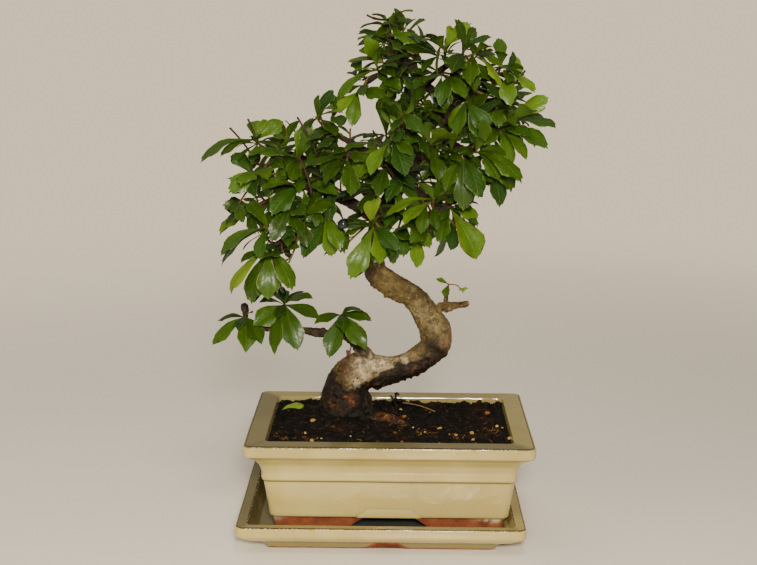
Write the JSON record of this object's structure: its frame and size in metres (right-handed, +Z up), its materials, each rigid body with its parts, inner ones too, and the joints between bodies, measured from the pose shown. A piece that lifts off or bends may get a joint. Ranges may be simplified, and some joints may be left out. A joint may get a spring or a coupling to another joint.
{
  "type": "fukien tea bonsai",
  "caption": "Fukien tea bonsai with an S-shaped trunk and glossy toothed leaves, planted in a cream glazed rectangular pot that stands on its saucer.",
  "frame": {"origin": "middle of the saucer's underside, on the surface that it stands on", "axes": "+Z up, +X to the right and -Y towards a viewer in front of the tree"},
  "size_m": [0.2991, 0.2079, 0.4586],
  "materials": {
    "glaze": "gloss",
    "bark": "matte",
    "foliage": "satin",
    "soil": "matte",
    "mesh": "matte"
  },
  "bodies": {
    "root": {"saucer": "glaze", "pot": "glaze", "drainage_mesh_left": "mesh", "drainage_mesh_right": "mesh", "soil": "soil", "trunk": "bark", "leafy_shoot_01": "foliage", "leafy_shoot_02": "foliage", "leafy_shoot_03": "foliage", "leafy_shoot_04": "foliage", "leafy_shoot_05": "foliage", "leafy_shoot_06": "foliage", "leafy_shoot_07": "foliage", "leafy_shoot_08": "foliage", "leafy_shoot_09": "foliage", "leafy_shoot_10": "foliage", "leafy_shoot_11": "foliage", "leafy_shoot_12": "foliage", "leafy_shoot_13": "foliage", "leafy_shoot_14": "foliage", "leafy_shoot_15": "foliage", "leafy_shoot_16": "foliage", "leafy_shoot_17": "foliage", "leafy_shoot_18": "foliage", "leafy_shoot_19": "foliage", "leafy_shoot_20": "foliage", "leafy_shoot_21": "foliage", "leafy_shoot_22": "foliage", "leafy_shoot_23": "foliage", "leafy_shoot_24": "foliage", "leafy_shoot_25": "foliage", "leafy_shoot_26": "foliage", "leafy_shoot_27": "foliage", "leafy_shoot_28": "foliage", "leafy_shoot_29": "foliage", "leafy_shoot_30": "foliage", "leafy_shoot_31": "foliage", "leafy_shoot_32": "foliage", "leafy_shoot_33": "foliage", "leafy_shoot_34": "foliage", "leafy_shoot_35": "foliage", "leafy_shoot_36": "foliage", "leafy_shoot_37": "foliage", "leafy_shoot_38": "foliage", "leafy_shoot_39": "foliage", "leafy_shoot_40": "foliage", "leafy_shoot_41": "foliage", "leafy_shoot_42": "foliage", "leafy_shoot_43": "foliage", "leafy_shoot_44": "foliage", "leafy_shoot_45": "foliage", "leafy_shoot_46": "foliage", "leafy_shoot_47": "foliage", "leafy_shoot_48": "foliage", "leafy_shoot_49": "foliage", "leafy_shoot_50": "foliage", "leafy_shoot_51": "foliage", "fallen_leaf": "foliage", "fallen_twig": "bark"}
  },
  "joints": []
}
